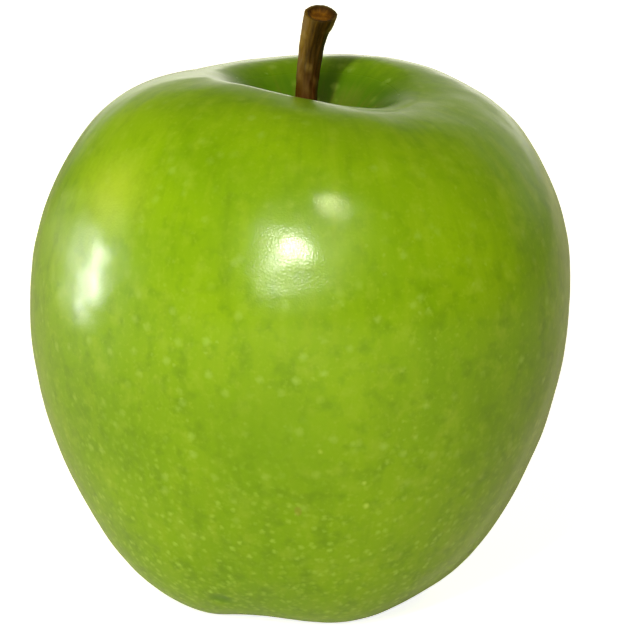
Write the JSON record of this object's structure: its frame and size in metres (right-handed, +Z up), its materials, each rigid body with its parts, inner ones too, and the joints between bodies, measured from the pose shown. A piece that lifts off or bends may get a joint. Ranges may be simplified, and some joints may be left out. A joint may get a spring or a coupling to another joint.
{
  "type": "green apple",
  "caption": "Whole green apple, tall and slightly conic, standing on its ribbed base, with a woody stalk in a deep hollow and a dried calyx underneath.",
  "frame": {"origin": "on the surface that the apple stands on, under the middle of its bounding box", "axes": "+Z up along the apple's core towards the stalk, -Y towards the side that the picture shows"},
  "size_m": [0.076, 0.0762, 0.0843],
  "materials": {
    "skin": "waxy green apple skin with pale lenticels",
    "stalk_bark": "dry brown bark, orange-brown where it is cut",
    "dried_sepal": "dry, papery and downy",
    "dried_stamen": "dry brown threads"
  },
  "bodies": {
    "root": {"fruit": "skin", "stem": "stalk_bark", "sepals": "dried_sepal", "stamens": "dried_stamen"}
  },
  "joints": []
}
